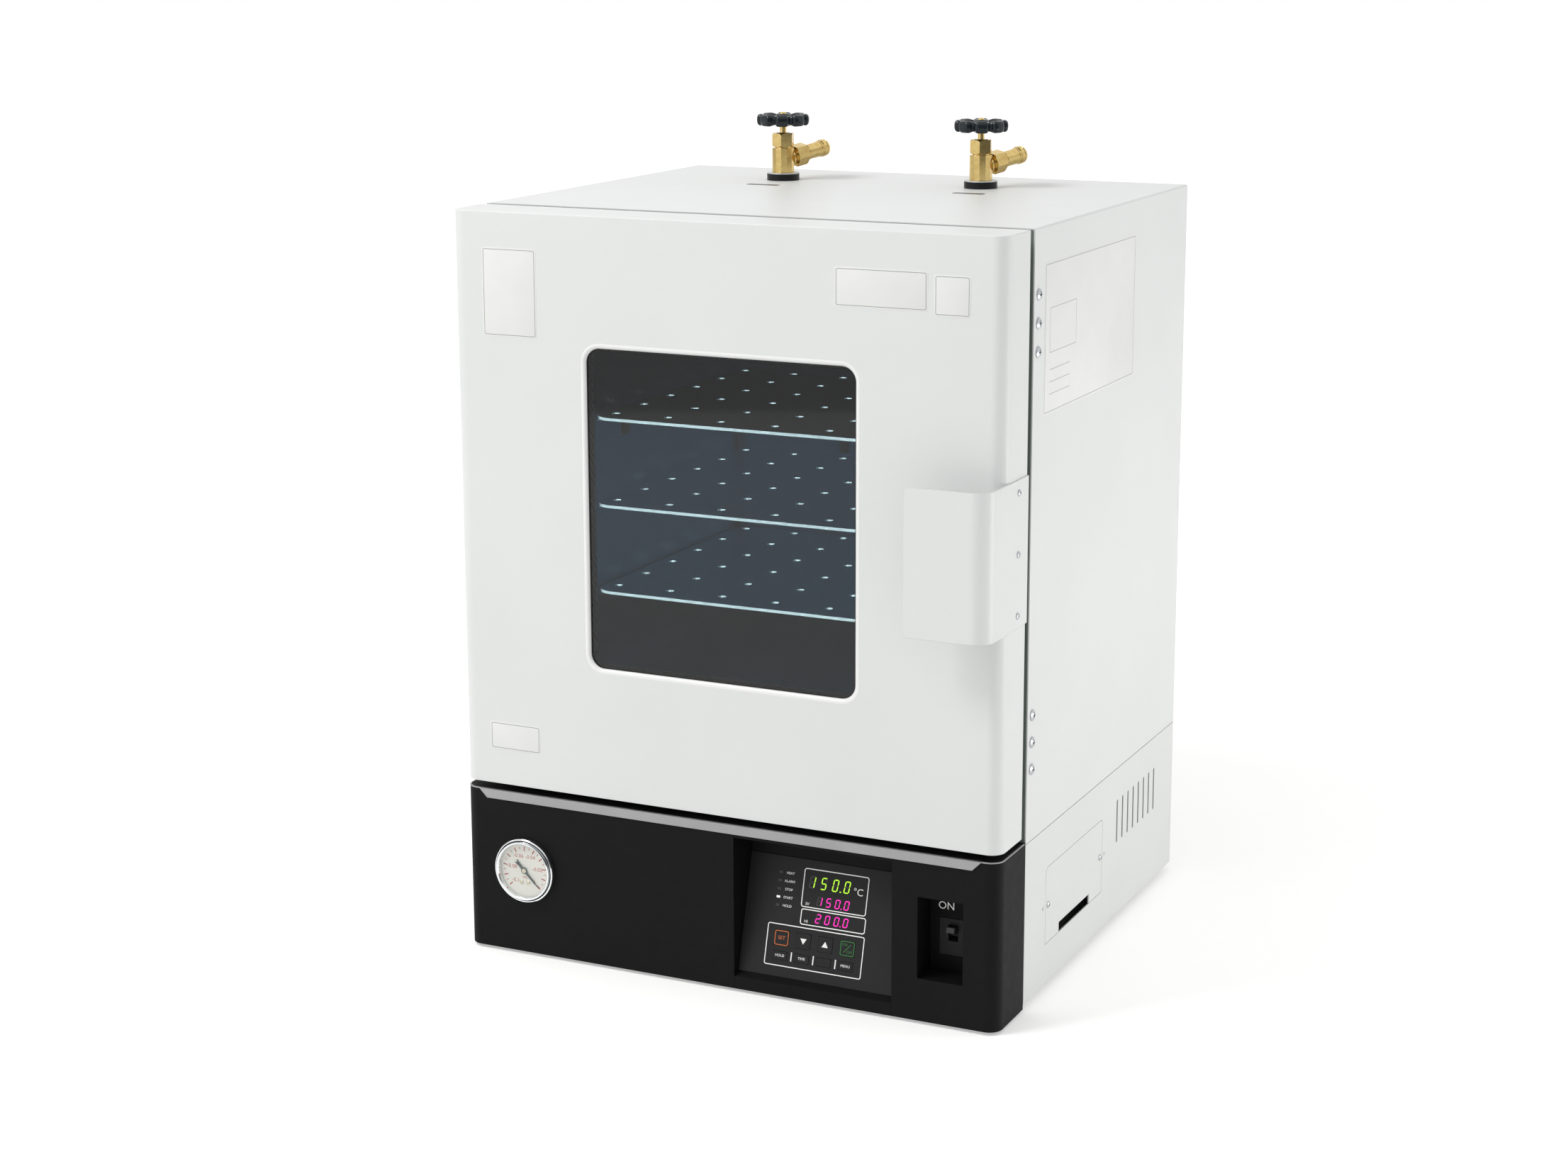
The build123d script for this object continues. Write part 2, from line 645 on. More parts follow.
# ================================================================ base cover and controls
recess_right = recess_left + recess_width
recess_ceiling = casing_bottom + recess_top
breaker_x = breaker_recess_left + breaker_recess_width / 2
breaker_z = casing_bottom + breaker_recess_bottom + breaker_recess_height / 2
recess_floor_y = cover_front + breaker_recess_depth
nose_z = breaker_z - breaker_nose_drop
gauge_z = casing_bottom + gauge_height
cover_middle = (cover_bottom + cover_top) / 2
with BuildPart() as base_front_cover:
    with BuildSketch(level(cover_bottom)) as cover_plan:
        with Locations((0, (cover_front + cover_back) / 2)):
            Rectangle(casing_width, cover_back - cover_front)
        fillet(cover_plan.vertices().group_by(Axis.Y)[0], cover_corner)
    extrude(amount=cover_top - cover_bottom)
    with BuildSketch(level(cover_bottom)) as cover_inside:
        with Locations((0, (cover_front + cover_wall + cover_back) / 2)):
            Rectangle(casing_width - 2 * cover_wall, cover_back - cover_front - cover_wall)
        fillet(cover_inside.vertices().group_by(Axis.Y)[0], cover_corner - cover_wall)
    extrude(amount=cover_top - cover_bottom - cover_wall, mode=Mode.SUBTRACT)
    # Cheeks and ceiling of the control recess, and the walls of the breaker recess.
    with BuildSketch(facing(cover_front)):
        with Locations(((recess_left + recess_right) / 2, (cover_bottom + recess_ceiling) / 2)):
            with Locations((0, cover_wall / 2)):
                Rectangle(recess_width + 2 * cover_wall, recess_ceiling - cover_bottom + cover_wall)
    extrude(amount=-cheek_depth)
    with BuildSketch(facing(cover_front)):
        with Locations((breaker_x, breaker_z)):
            Rectangle(breaker_recess_width + 2 * cover_wall, breaker_recess_height + 2 * cover_wall)
    extrude(amount=-(breaker_recess_depth + cover_wall))
    with BuildSketch(facing(cover_front)):
        with Locations(((recess_left + recess_right) / 2, (cover_bottom + recess_ceiling) / 2)):
            Rectangle(recess_width, recess_ceiling - cover_bottom)
    extrude(amount=-cheek_depth, mode=Mode.SUBTRACT)
    with BuildSketch(facing(cover_front)):
        with Locations((breaker_x, breaker_z)):
            Rectangle(breaker_recess_width, breaker_recess_height)
    extrude(amount=-breaker_recess_depth, mode=Mode.SUBTRACT)
    with BuildSketch(facing(recess_floor_y - 1)):
        with Locations((breaker_x, nose_z)):
            Rectangle(breaker_nose_width + 2 * sheet_fit, breaker_nose_height + 2 * sheet_fit)
    extrude(amount=-(cover_wall + 2), mode=Mode.SUBTRACT)
    with BuildSketch(facing(cover_front - 1)):
        with Locations((gauge_x, gauge_z)):
            Circle(gauge_case_radius + sheet_fit)
    extrude(amount=-(cover_wall + 2), mode=Mode.SUBTRACT)
    # The cheeks stop above the floor's front part.
    with BuildSketch(level(cover_bottom)):
        with Locations(((recess_left + recess_right) / 2, tongue_front + cheek_depth / 2)):
            Rectangle(recess_width + 2 * cover_wall + 2 * sheet_fit, cheek_depth)
    extrude(amount=floor_top + sheet_fit - cover_bottom, mode=Mode.SUBTRACT)
    # Tabs that reach back inside the lower casing.
    for sx in (-1, 1):
        with Locations((sx * (inner_half - sheet_fit - cover_wall / 2), cover_back, cover_middle)):
            Box(cover_wall, 2 * cover_tab, cover_tab_height)
base_front_cover.part.label = "base_front_cover"
export_step(base_front_cover.part, "parts/base_front_cover.step")

# Trim strip: flat strip with mitred lower corners, flush with the cover's top edge.
with BuildPart() as trim_strip:
    with BuildSketch(facing(cover_front)):
        with BuildLine():
            strip_half = half_width - strip_margin
            Polyline(
                (-strip_half, cover_top),
                (strip_half, cover_top),
                (strip_half - strip_height, cover_top - strip_height),
                (-strip_half + strip_height, cover_top - strip_height),
                close=True,
            )
        make_face()
    extrude(amount=strip_thickness)
trim_strip.part.label = "trim_strip"
export_step(trim_strip.part, "parts/trim_strip.step")

# The sloping face's own plane: X to the right from the recess's left wall, Y up the slope,
# Z out towards the user.
slope = math.radians(panel_slope)
face_plane = Plane(
    origin=(recess_left, cover_front + panel_base_inset, cover_bottom + panel_base_height),
    x_dir=(1, 0, 0),
    z_dir=(0, -math.cos(slope), math.sin(slope)),
)
key_columns = [key_first + key_pitch * n for n in range(4)]
key_rows = {
    "upper": (key_upper, key_tall, ["key_set", "key_down", "key_up", "key_run"]),
    "lower": (key_lower, key_short, ["key_hold", "key_timer", "key_spare", "key_menu"]),
}
key_plan = [
    (name, column, row_y, tall)
    for row_y, tall, names in key_rows.values()
    for name, column in zip(names, key_columns)
]
display_centre = (display_left + display_width / 2, display_bottom + display_height / 2)
bezel_half = recess_width / 2 - sheet_fit

# Control bezel: sill, sloping face and the wall above it, as one moulding between the cheeks.
slope_top_y = cover_front + panel_base_inset + panel_length * math.sin(slope)
slope_top_z = cover_bottom + panel_base_height + panel_length * math.cos(slope)
with BuildPart() as control_bezel:
    with BuildSketch(side(recess_left + sheet_fit)):
        with BuildLine():
            Polyline(
                (cover_front, cover_bottom),
                (cover_front, cover_bottom + sill_height),
                (cover_front + panel_base_inset, cover_bottom + panel_base_height),
                (slope_top_y, slope_top_z),
                (slope_top_y, recess_ceiling - sheet_fit),
                (slope_top_y + bezel_wall, recess_ceiling - sheet_fit),
                (slope_top_y + bezel_wall, slope_top_z),
                (cover_front + panel_base_inset + bezel_wall, cover_bottom + panel_base_height),
                (cover_front + bezel_wall, cover_bottom + sill_height - bezel_wall),
                (cover_front + bezel_wall, cover_bottom),
                close=True,
            )
        make_face()
    extrude(amount=2 * bezel_half)
    for name, column, row_y, tall in key_plan:
        with BuildSketch(face_plane):
            with Locations((column, row_y)):
                Rectangle(key_width + 2 * key_gap, tall + 2 * key_gap)
        extrude(amount=-(bezel_wall + 2), mode=Mode.SUBTRACT)
    with BuildSketch(face_plane):
        with Locations(display_centre):
            Rectangle(display_width, display_height)
        for n in range(lamp_count):
            with Locations((lamp_left, lamp_top - n * lamp_pitch)):
                Rectangle(lamp_width, lamp_height)
    extrude(amount=-(bezel_wall + 2), mode=Mode.SUBTRACT)
control_bezel.part.label = "control_bezel"
export_step(control_bezel.part, "parts/control_bezel.step")

# Keypad overlay: thin film on the sloping face, with an opening round each key.
with BuildPart() as keypad_overlay:
    with BuildSketch(face_plane):
        with Locations((recess_width / 2, panel_length / 2)):
            Rectangle(recess_width - 2 * overlay_margin, panel_length - 2 * overlay_margin)
        for name, column, row_y, tall in key_plan:
            with Locations((column, row_y)):
                Rectangle(key_width + 2 * key_gap, tall + 2 * key_gap, mode=Mode.SUBTRACT)
    extrude(amount=overlay_thickness)
keypad_overlay.part.label = "keypad_overlay"
export_step(keypad_overlay.part, "parts/keypad_overlay.step")

# Keys: flat caps with a flange behind the bezel.
flange_face = -(bezel_wall + slide_fit)
for name, column, row_y, tall in key_plan:
    with BuildPart() as key:
        with BuildSketch(face_plane.offset(overlay_thickness + key_rise)):
            with Locations((column, row_y)):
                RectangleRounded(key_width, tall, key_corner)
        extrude(amount=-(overlay_thickness + key_rise + bezel_wall + slide_fit + key_back))
        with BuildSketch(face_plane.offset(flange_face)):
            with Locations((column, row_y)):
                Rectangle(key_width + 2 * key_flange, tall + 2 * key_flange)
        extrude(amount=-key_back)
    key.part.label = name
    export_step(key.part, f"parts/{name}.step")

# Control board: circuit board behind the bezel, with a switch under each key, the display block,
# the indicator lamps and four posts that reach the bezel's back.
board_face = -(bezel_wall + slide_fit + key_back + board_gap)
switch_height = board_gap - key_travel - lamp_play
with BuildPart() as control_board:
    with BuildSketch(face_plane.offset(board_face)):
        with Locations((recess_width / 2, panel_length / 2)):
            Rectangle(recess_width - 2 * board_margin_x, panel_length - 2 * board_margin_y)
    extrude(amount=-board_thickness)
    with BuildSketch(face_plane.offset(board_face)):
        with Locations(*[(column, row_y) for name, column, row_y, tall in key_plan]):
            Circle(switch_radius)
    extrude(amount=switch_height)
    with BuildSketch(face_plane.offset(board_face)):
        with Locations(display_centre):
            Rectangle(display_width - 1, display_height - 1)
    extrude(amount=-board_face - display_play)
    with BuildSketch(face_plane.offset(board_face)):
        for n in range(lamp_count):
            with Locations((lamp_left, lamp_top - n * lamp_pitch)):
                Rectangle(lamp_width - 2 * lamp_play, lamp_height - 2 * lamp_play)
    extrude(amount=-board_face - lamp_play)
    with BuildSketch(face_plane.offset(board_face)):
        with Locations((recess_width / 2, panel_length / 2)):
            with GridLocations(
                recess_width - 2 * post_inset_x, panel_length - 2 * post_inset_y, 2, 2
            ):
                Circle(post_radius)
    extrude(amount=-board_face - bezel_wall)
control_board.part.label = "control_board"
export_step(control_board.part, "parts/control_board.step")

# Breaker body: block behind the recess, whose nose stands in the recess floor's opening.
nose_front = recess_floor_y - nose_step
pivot_y = nose_front + lever_pivot_depth
pivot_z = nose_z + lever_raise
slot_half = lever_drum + 2.0
lever_length = lever_pivot_depth + lever_reach
lever_rise = math.radians(lever_tilt)
lever_middle = (
    pivot_y - lever_length / 2 * math.cos(lever_rise),
    pivot_z + lever_length / 2 * math.sin(lever_rise),
)
with BuildPart() as breaker_body:
    with BuildSketch(facing(nose_front)):
        with Locations((breaker_x, nose_z)):
            Rectangle(breaker_nose_width, breaker_nose_height)
    extrude(amount=-(cover_wall + nose_step + 2 * sheet_fit + 1))
    with BuildSketch(facing(recess_floor_y + cover_wall + sheet_fit)):
        with Locations((breaker_x, nose_z)):
            Rectangle(breaker_body_width, breaker_body_height)
    extrude(amount=-breaker_body_depth)
    with BuildSketch(facing(nose_front)):
        with Locations((breaker_x, pivot_z)):
            Rectangle(lever_width + 4 * slide_fit, 2 * slot_half)
    extrude(amount=-(lever_pivot_depth + lever_drum + 1), mode=Mode.SUBTRACT)
    with BuildSketch(side(breaker_x - lever_width / 2 - 3)):
        with Locations((pivot_y, pivot_z)):
            Circle(lever_pin + shaft_fit)
    extrude(amount=lever_width + 6, mode=Mode.SUBTRACT)
breaker_body.part.label = "breaker_body"
export_step(breaker_body.part, "parts/breaker_body.step")

# Breaker lever: drum on a cross pin, with a flat finger that stands out of the nose.
with BuildPart() as breaker_lever:
    with BuildSketch(side(breaker_x - lever_width / 2)):
        with Locations((pivot_y, pivot_z)):
            Circle(lever_drum)
        with Locations(lever_middle):
            Rectangle(lever_length, lever_height, rotation=-lever_tilt)
    extrude(amount=lever_width)
    with BuildSketch(side(breaker_x - lever_width / 2 - 2.5)):
        with Locations((pivot_y, pivot_z)):
            Circle(lever_pin)
    extrude(amount=lever_width + 5)
    lever_end = breaker_lever.faces().sort_by(Axis.Y)[0]
    fillet(lever_end.edges(), lever_end_round)
breaker_lever.part.label = "breaker_lever"
export_step(breaker_lever.part, "parts/breaker_lever.step")

# ---------------------------------------------------------------- vacuum gauge
gauge_front = cover_front - gauge_bezel_rise
dial_front = gauge_front + gauge_dial_depth
dial_back = dial_front + gauge_dial
case_back = cover_front + gauge_case_depth
glass_back = gauge_front + 0.8 + gauge_glass
with BuildPart() as gauge_case:
    with BuildSketch(facing(glass_back + 0.2)):
        with Locations((gauge_x, gauge_z)):
            Circle(gauge_case_radius)
    extrude(amount=-(case_back - glass_back - 0.2))
    with BuildSketch(facing(glass_back + 0.2)):
        with Locations((gauge_x, gauge_z)):
            Circle(gauge_case_radius - gauge_wall)
    extrude(amount=-(case_back - glass_back - 0.2 - gauge_wall), mode=Mode.SUBTRACT)
    with BuildSketch(facing(case_back - gauge_wall / 2)):
        with Locations((gauge_x, gauge_z)):
            Circle(movement_radius)
    extrude(amount=case_back - gauge_wall / 2 - dial_back)
    with BuildSketch(facing(dial_back - 1)):
        with Locations((gauge_x, gauge_z)):
            Circle(pointer_arbor + shaft_fit)
    extrude(amount=-8, mode=Mode.SUBTRACT)
    with BuildSketch(facing(case_back)):
        with Locations((gauge_x, gauge_z)):
            RegularPolygon(fitting_flats, 6, major_radius=False)
    extrude(amount=-fitting_length)
gauge_case.part.label = "gauge_case"
export_step(gauge_case.part, "parts/gauge_case.step")

with BuildPart() as gauge_bezel_ring:
    with BuildSketch(level(gauge_z)):
        with BuildLine():
            outer = gauge_x + gauge_bezel
            inner = gauge_x + gauge_case_radius + sheet_fit
            lip = gauge_x + gauge_bezel - gauge_lip - 2.2
            Polyline(
                (inner, cover_front),
                (outer, cover_front),
                (outer, gauge_front + 2.0),
                (outer - 1.6, gauge_front + 0.3),
                (outer - 2.6, gauge_front),
                (lip, gauge_front + 0.8),
                (inner, gauge_front + 0.8),
                close=True,
            )
        make_face()
    revolve(axis=Axis((gauge_x, 0, gauge_z), (0, 1, 0)))
gauge_bezel_ring.part.label = "gauge_bezel"
export_step(gauge_bezel_ring.part, "parts/gauge_bezel.step")

with BuildPart() as gauge_dial_disc:
    with BuildSketch(facing(dial_front)):
        with Locations((gauge_x, gauge_z)):
            Circle(gauge_case_radius - gauge_wall - sheet_fit)
            Circle(pointer_arbor + shaft_fit, mode=Mode.SUBTRACT)
    extrude(amount=-gauge_dial)
gauge_dial_disc.part.label = "gauge_dial"
export_step(gauge_dial_disc.part, "parts/gauge_dial.step")

with BuildPart() as gauge_window:
    with BuildSketch(facing(glass_back)):
        with Locations((gauge_x, gauge_z)):
            Circle(gauge_case_radius)
    extrude(amount=gauge_glass)
gauge_window.part.label = "gauge_glass"
export_step(gauge_window.part, "parts/gauge_glass.step")

# Pointer: tapered finger with a short forked tail, on an arbor that runs in the movement.
pointer_plane = Plane(
    origin=(gauge_x, dial_front - 0.5, gauge_z),
    x_dir=(math.cos(math.radians(pointer_rest)), 0, math.sin(math.radians(pointer_rest))),
    z_dir=(0, -1, 0),
)
with BuildPart() as gauge_pointer:
    with BuildSketch(pointer_plane):
        with BuildLine():
            Polyline(
                (-pointer_tail, 1.4),
                (-pointer_tail + 1.6, 0.0),
                (-pointer_tail, -1.4),
                (0, -0.8),
                (pointer_length, -0.15),
                (pointer_length, 0.15),
                (0, 0.8),
                close=True,
            )
        make_face()
        Circle(pointer_hub)
    extrude(amount=pointer_sheet)
    with BuildSketch(pointer_plane.offset(pointer_sheet)):
        Circle(pointer_arbor)
    extrude(amount=-(pointer_sheet + 0.5 + gauge_dial + 5.0))
gauge_pointer.part.label = "gauge_pointer"
export_step(gauge_pointer.part, "parts/gauge_pointer.step")

# ================================================================ chamber
chamber_half_w = chamber_width / 2
chamber_half_h = chamber_height / 2
chamber_rear = casing_front + chamber_depth
chamber_floor = window_z - chamber_half_h
chamber_roof = window_z + chamber_half_h
sensor_z = window_z + sensor_above_centre
with BuildPart() as chamber:
    with BuildSketch(facing(casing_front)):
        with Locations((0, window_z)):
            RectangleRounded(
                chamber_width + 2 * chamber_wall,
                chamber_height + 2 * chamber_wall,
                chamber_corner + chamber_wall,
            )
    extrude(amount=-(chamber_depth + chamber_wall))
    with BuildSketch(facing(casing_front)):
        with Locations((0, window_z)):
            RectangleRounded(flange_outer_w, flange_outer_h, chamber_corner)
    extrude(amount=-flange_thickness)
    with BuildSketch(facing(casing_front)):
        with Locations((0, window_z)):
            RectangleRounded(chamber_width, chamber_height, chamber_corner)
    extrude(amount=-chamber_depth, mode=Mode.SUBTRACT)
    with BuildSketch(level(chamber_roof - 1)):
        with Locations(*[(x, valve_y) for x in valve_x.values()]):
            Circle(pipe_bore)
    extrude(amount=chamber_wall + 2, mode=Mode.SUBTRACT)
    with BuildSketch(level(chamber_floor + 1)):
        with Locations((capillary_x, capillary_y)):
            Circle(capillary / 2)
    extrude(amount=-(chamber_wall + 2), mode=Mode.SUBTRACT)
    with BuildSketch(facing(chamber_rear - 1)):
        with Locations((sensor_x, sensor_z)):
            Circle(sensor_radius + shaft_fit)
    extrude(amount=-(chamber_wall + 2), mode=Mode.SUBTRACT)
chamber.part.label = "chamber"
export_step(chamber.part, "parts/chamber.step")

# Seal: silicone ring on the flange, rounded towards the door's glass.
seal_depth = door_gap - glass_proud - soft_fit
seal_open_w = chamber_width + 2 * seal_inset
seal_open_h = chamber_height + 2 * seal_inset
with BuildPart() as door_gasket:
    with BuildSketch(facing(casing_front)):
        with Locations((0, window_z)):
            RectangleRounded(
                seal_open_w + 2 * seal_width, seal_open_h + 2 * seal_width, chamber_corner + seal_width
            )
            RectangleRounded(seal_open_w, seal_open_h, chamber_corner, mode=Mode.SUBTRACT)
    extrude(amount=seal_depth)
    fillet(door_gasket.faces().sort_by(Axis.Y)[0].edges(), seal_round)
door_gasket.part.label = "door_gasket"
export_step(door_gasket.part, "parts/door_gasket.step")

# Shelf runners: an angle on each side wall at every shelf.
shelf_levels = [window_z - shelf_drop + shelf_pitch * (n - 1) for n in range(shelf_count)]
shelf_front = casing_front + shelf_front_gap
shelf_width = chamber_width - 2 * shelf_side_gap
shelf_depth = chamber_depth - shelf_front_gap - shelf_rear_gap
shelf_middle_y = shelf_front + shelf_depth / 2
with BuildPart() as shelf_runners:
    for z in shelf_levels:
        for sx in (-1, 1):
            under = z - shelf_sheet - slide_fit
            with Locations((sx * (chamber_half_w - runner_leg / 2), shelf_middle_y, under)):
                Box(
                    runner_leg, shelf_depth, runner_sheet, align=(Align.CENTER, Align.CENTER, Align.MAX)
                )
            with Locations((sx * (chamber_half_w - runner_sheet / 2), shelf_middle_y, under)):
                Box(
                    runner_sheet, shelf_depth, runner_leg, align=(Align.CENTER, Align.CENTER, Align.MAX)
                )
shelf_runners.part.label = "shelf_runners"
export_step(shelf_runners.part, "parts/shelf_runners.step")

# Shelves: perforated plates with rounded corners. The top one has two stop pegs under its front edge.
shelf_hole_columns = int((shelf_width - 2 * shelf_hole_margin) // shelf_hole_pitch) + 1
shelf_hole_rows = int((shelf_depth - shelf_first_row - shelf_hole_margin) // shelf_hole_pitch) + 1
hole_rows_centre = shelf_front + shelf_first_row + shelf_hole_pitch * (shelf_hole_rows - 1) / 2
for name, z in zip(("shelf_bottom", "shelf_middle", "shelf_top"), shelf_levels):
    with BuildPart() as shelf:
        with BuildSketch(level(z - shelf_sheet)):
            with Locations((0, shelf_middle_y)):
                RectangleRounded(shelf_width, shelf_depth, shelf_corner)
            with Locations((0, hole_rows_centre)):
                with GridLocations(
                    shelf_hole_pitch, shelf_hole_pitch, shelf_hole_columns, shelf_hole_rows
                ):
                    Circle(shelf_hole, mode=Mode.SUBTRACT)
        extrude(amount=shelf_sheet)
        if name == "shelf_top":
            with Locations(
                *[
                    (x, shelf_front + stop_peg_inset, z - shelf_sheet)
                    for x in (stop_peg_left, stop_peg_right)
                ]
            ):
                Cylinder(
                    stop_peg_radius, stop_peg_length, align=(Align.CENTER, Align.CENTER, Align.MAX)
                )
    shelf.part.label = name
    export_step(shelf.part, f"parts/{name}.step")

# Heaters: flat pads on the chamber's outer sides, roof and floor.
outer_w = chamber_half_w + chamber_wall
outer_h = chamber_half_h + chamber_wall
heater_y = (casing_front + flange_thickness + chamber_rear) / 2
heater_depth = chamber_depth - flange_thickness - 2 * heater_margin
with BuildPart() as heaters:
    for sx in (-1, 1):
        with Locations((sx * (outer_w + heater_thickness / 2), heater_y, window_z)):
            Box(heater_thickness, heater_depth, chamber_height - 2 * heater_margin)
        with Locations((0, heater_y, window_z + sx * (outer_h + heater_thickness / 2))):
            Box(chamber_width - 2 * heater_margin, heater_depth, heater_thickness)
    with BuildSketch(level(window_z)):
        with Locations(*[(x, valve_y) for x in valve_x.values()]):
            Circle(pipe_radius + soft_fit + 2)
        with Locations((capillary_x, capillary_y)):
            Circle(capillary + soft_fit + 1)
    extrude(amount=casing_height, both=True, mode=Mode.SUBTRACT)
heaters.part.label = "heaters"
export_step(heaters.part, "parts/heaters.step")

# Insulation: wool block that fills the upper casing round the chamber.
wool_half = panel_half - casing_sheet - soft_fit
wool_front = casing_front + flange_thickness + soft_fit
wool_rear = deck_rear
wool_roof = panel_top - soft_fit
heater_room = heater_thickness + soft_fit
with BuildPart() as insulation:
    with Locations((0, (wool_front + wool_rear) / 2, (deck_top + wool_roof) / 2)):
        Box(2 * wool_half, wool_rear - wool_front, wool_roof - deck_top)
    with BuildSketch(facing(wool_front)):
        with Locations((0, window_z)):
            RectangleRounded(
                2 * (outer_w + heater_room), 2 * (outer_h + heater_room), chamber_corner + chamber_wall
            )
    extrude(amount=-(chamber_rear + chamber_wall + soft_fit - wool_front), mode=Mode.SUBTRACT)
    with BuildSketch(level(window_z)):
        with Locations(*[(x, valve_y) for x in valve_x.values()]):
            Circle(pipe_radius + valve_spigot)
    extrude(amount=casing_height, mode=Mode.SUBTRACT)
    with BuildSketch(level(window_z)):
        with Locations((capillary_x, capillary_y)):
            Circle(capillary + soft_fit)
    extrude(amount=-casing_height, mode=Mode.SUBTRACT)
    with BuildSketch(facing(chamber_rear)):
        with Locations((sensor_x, sensor_z)):
            Circle(sensor_pocket)
    extrude(amount=-sensor_pocket_depth, mode=Mode.SUBTRACT)
    # Pockets for the ends of the side screws and of the rear screws.
    for sx in (-1, 1):
        with BuildSketch(side(sx * wool_half)):
            with Locations(*right_screw_points):
                Circle(side_screw_shank + soft_fit)
        extrude(amount=-sx * side_screw_length, mode=Mode.SUBTRACT)
    with BuildSketch(facing(wool_rear)):
        with Locations(*rear_screw_points):
            Circle(small_screw_shank + soft_fit)
    extrude(amount=small_screw_length, mode=Mode.SUBTRACT)
insulation.part.label = "insulation"
export_step(insulation.part, "parts/insulation.step")

# Pipes: a stub from the chamber's roof to each valve, and the capillary from the gauge to the
# chamber's floor.
spigot_bottom = casing_top + valve_collar_height + valve_washer_height - valve_spigot_length
capillary_start = case_back + fitting_length
capillary_end = chamber_floor - chamber_wall
with BuildPart() as vacuum_pipes:
    for x in valve_x.values():
        with Locations((x, valve_y, chamber_roof + chamber_wall)):
            Cylinder(pipe_radius, spigot_bottom - chamber_roof - chamber_wall, align=LOW)
            Cylinder(
                pipe_bore, spigot_bottom - chamber_roof - chamber_wall, align=LOW, mode=Mode.SUBTRACT
            )
    with BuildLine() as route:
        FilletPolyline(
            (gauge_x, capillary_start, gauge_z),
            (gauge_x, capillary_y, gauge_z),
            (capillary_x, capillary_y, gauge_z),
            (capillary_x, capillary_y, capillary_end),
            radius=capillary_bend,
        )
    with BuildSketch(Plane((gauge_x, capillary_start, gauge_z), z_dir=(0, 1, 0))):
        Circle(capillary)
    sweep(path=route.wire())
vacuum_pipes.part.label = "vacuum_pipes"
export_step(vacuum_pipes.part, "parts/vacuum_pipes.step")

# Temperature sensor: probe through the chamber's rear wall, with a hexagonal head outside.
with BuildPart() as temperature_sensor:
    with BuildSketch(facing(chamber_rear - sensor_reach)):
        with Locations((sensor_x, sensor_z)):
            Circle(sensor_radius)
    extrude(amount=-(sensor_reach + chamber_wall + sensor_head))
    with BuildSketch(facing(chamber_rear + chamber_wall)):
        with Locations((sensor_x, sensor_z)):
            RegularPolygon(sensor_flats, 6, major_radius=False)
    extrude(amount=-sensor_head)
temperature_sensor.part.label = "temperature_sensor"
export_step(temperature_sensor.part, "parts/temperature_sensor.step")

# ================================================================ rear and base fittings
# Cable gland: threaded body through the rear panel, lock nut inside, domed cap outside.
with BuildPart() as cable_gland:
    with BuildSketch(facing(rear_face - gland_inside)):
        with Locations((gland_x, gland_z)):
            Circle(gland_thread)
    extrude(amount=-(gland_inside + casing_sheet + gland_collar))
    with BuildSketch(facing(rear_face - gland_nut)):
        with Locations((gland_x, gland_z)):
            RegularPolygon(gland_hex, 6, major_radius=False)
    extrude(amount=-gland_nut)
    with BuildSketch(facing(casing_rear)):
        with Locations((gland_x, gland_z)):
            RegularPolygon(gland_hex, 6, major_radius=False)
    extrude(amount=-gland_collar)
    with BuildSketch(facing(casing_rear + gland_collar)):
        with Locations((gland_x, gland_z)):
            Circle(gland_hex - gland_cap_step)
    extrude(amount=-(gland_reach - gland_collar))
    fillet(cable_gland.faces().sort_by(Axis.Y)[-1].edges(), gland_cap_round)
    with BuildSketch(facing(rear_face - gland_inside - 1)):
        with Locations((gland_x, gland_z)):
            Circle(gland_bore)
    extrude(amount=-(gland_reach + 2 * gland_inside), mode=Mode.SUBTRACT)
cable_gland.part.label = "cable_gland"
export_step(cable_gland.part, "parts/cable_gland.step")

# Power board: mounting plate on four standoffs, with relay, transformer and terminal block.
board_y = (casing_front + casing_rear) / 2 + power_board_back
board_z = floor_top + standoff_height
with BuildPart() as power_board:
    with Locations((power_board_x, board_y, board_z)):
        Box(power_board_width, power_board_depth, power_board_sheet, align=LOW)
    with Locations((power_board_x, board_y, floor_top)):
        with GridLocations(
            power_board_width - 2 * standoff_inset, power_board_depth - 2 * standoff_inset, 2, 2
        ):
            Cylinder(standoff_radius, standoff_height, align=LOW)
    block_z = board_z + power_board_sheet
    for (dx, dy), (wide, deep, tall) in (
        (relay_place, relay_size),
        (transformer_place, transformer_size),
        (terminal_place, terminal_size),
    ):
        with Locations((power_board_x + dx, board_y + dy, block_z)):
            Box(wide, deep, tall, align=LOW)
power_board.part.label = "power_board"
export_step(power_board.part, "parts/power_board.step")

